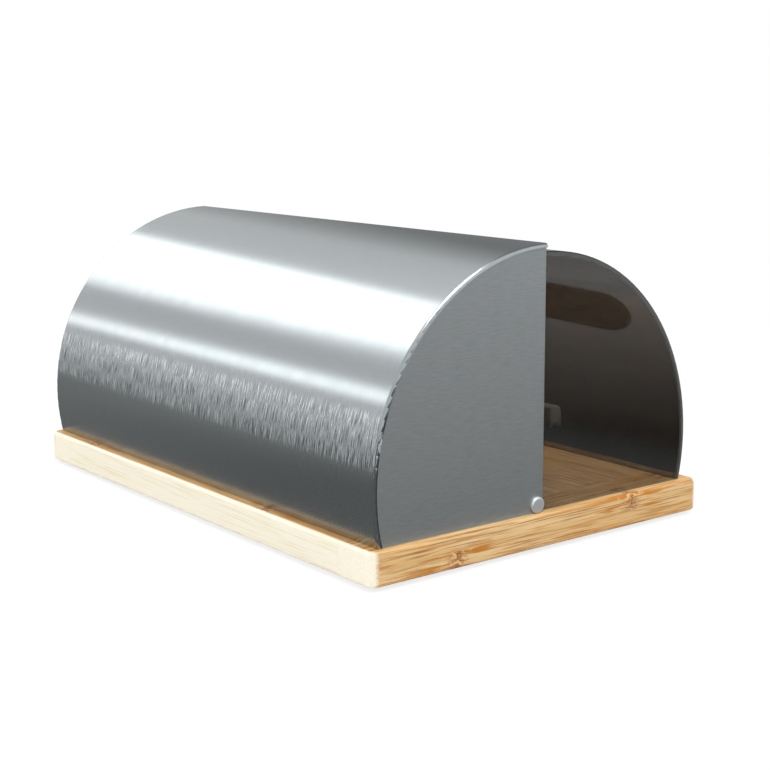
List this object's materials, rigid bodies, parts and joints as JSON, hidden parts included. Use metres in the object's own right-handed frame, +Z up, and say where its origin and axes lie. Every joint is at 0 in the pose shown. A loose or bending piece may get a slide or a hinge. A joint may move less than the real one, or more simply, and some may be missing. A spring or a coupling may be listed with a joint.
{
  "type": "roll-top bread box",
  "caption": "Bread box with a brushed steel half-barrel body on a bamboo board and a smoked see-through lid that rolls back under the shell.",
  "frame": {"origin": "middle of the whole object's box on the plane that the feet stand on", "axes": "+X along the box, the lid opens towards -Y, the steel shell faces +Y, +Z up"},
  "size_m": [0.374, 0.2586, 0.1765],
  "materials": {
    "bamboo": "oiled bamboo, grain along X",
    "bamboo_end": "oiled bamboo, grain along Y",
    "foot_rubber": "matt",
    "shell_steel": "brushed around the curve",
    "panel_steel": "brushed along Y",
    "screw_steel": "plain zinc-plated",
    "rivet_steel": "bright pressed",
    "nylon": "natural nylon",
    "smoked_acrylic": "smoked, see-through, polished",
    "felt": "pressed felt",
    "handle_aluminium": "satin"
  },
  "bodies": {
    "box": {"board_panel": "bamboo", "board_end_cap_left": "bamboo_end", "board_end_cap_right": "bamboo_end", "foot_front_left": "foot_rubber", "foot_front_right": "foot_rubber", "foot_rear_left": "foot_rubber", "foot_rear_right": "foot_rubber", "rear_shell": "shell_steel", "end_panel_left": "panel_steel", "end_panel_right": "panel_steel", "panel_screws": "screw_steel", "shell_screws": "screw_steel", "guide_rivet_left": "rivet_steel", "guide_rivet_right": "rivet_steel", "spacer_washer_left": "nylon", "spacer_washer_right": "nylon", "retaining_washer_left": "screw_steel", "retaining_washer_right": "screw_steel"},
    "lid": {"lid_sheet": "smoked_acrylic", "lid_end_left": "smoked_acrylic", "lid_end_right": "smoked_acrylic", "lid_glide_strip": "felt", "handle": "handle_aluminium", "handle_screws": "screw_steel", "handle_washers": "screw_steel"}
  },
  "joints": [
    {"name": "lid_roll", "type": "hinge", "parent": "box", "child": "lid", "pos_m": [0, 0.00075, 0.0515], "axis": [-1, 0, 0], "range_deg": [0, 90]}
  ]
}
